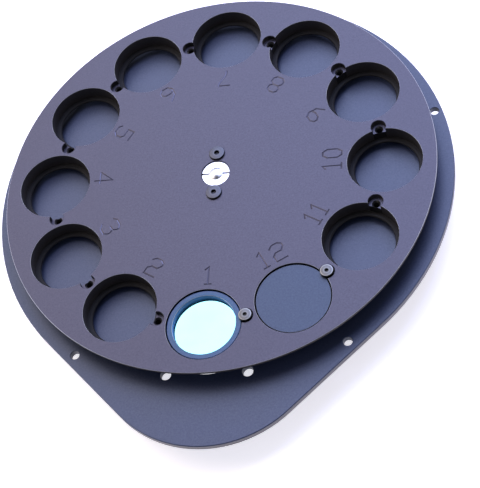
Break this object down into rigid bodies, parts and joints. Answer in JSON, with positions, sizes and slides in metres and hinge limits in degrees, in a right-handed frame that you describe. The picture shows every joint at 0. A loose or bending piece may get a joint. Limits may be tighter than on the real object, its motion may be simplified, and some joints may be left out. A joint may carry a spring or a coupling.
{
  "type": "optical filter wheel",
  "caption": "Optical filter wheel with its cover off: a flat teardrop base plate carrying a round carousel of stepped filter pockets that turns on ball bearings over an optical aperture.",
  "frame": {"origin": "On the wheel axis, in the outer (lower) face of the base plate, which is also the centre of the circle of cover holes.", "axes": "+Z is the wheel axis and points from the base plate towards the numbered face of the carousel. +Y points from the optical aperture towards the wheel axis, along the plate's length. +X makes the frame right-handed. The optical axis is parallel to Z at X 0, Y -72.5 mm."},
  "size_m": [0.2008, 0.2216, 0.028],
  "materials": {
    "plate_anodise": "satin dark blue-gray anodising",
    "carousel_anodise": "satin dark violet-gray anodising",
    "cell_anodise": "satin blue anodising",
    "filter_glass": "coated optical glass with a faint cyan cast",
    "stainless_screw": "bright stainless steel",
    "black_screw": "black oxide",
    "spindle_steel": "fine turned steel",
    "bearing_steel": "ground bearing steel",
    "ball_chrome": "polished",
    "cage_plastic": "molded polyamide",
    "spacer_steel": "turned steel",
    "spring_steel": "phosphated spring steel"
  },
  "bodies": {
    "housing": {"base_plate": "plate_anodise", "bearing_housing": "plate_anodise", "housing_screws": "black_screw", "upper_bearing_outer_ring": "bearing_steel", "upper_bearing_balls": "ball_chrome", "upper_bearing_cage": "cage_plastic", "lower_bearing_outer_ring": "bearing_steel", "lower_bearing_balls": "ball_chrome", "lower_bearing_cage": "cage_plastic", "outer_spacer": "spacer_steel", "wave_washer": "spring_steel", "internal_circlip": "spring_steel"},
    "rotor": {"carousel": "carousel_anodise", "spindle": "spindle_steel", "hub_screws": "black_screw", "upper_bearing_inner_ring": "bearing_steel", "lower_bearing_inner_ring": "bearing_steel", "inner_spacer": "spacer_steel", "lower_collar": "spacer_steel", "external_circlip": "spring_steel", "filter_ring": "cell_anodise", "filter_glass": "filter_glass", "filter_screw": "stainless_screw", "blank_disc": "carousel_anodise", "blank_screw": "stainless_screw"}
  },
  "joints": [
    {"name": "carousel_spin", "type": "hinge", "parent": "housing", "child": "rotor", "pos_m": [0, 0, 0], "axis": [0, 0, 1], "continuous": true}
  ]
}
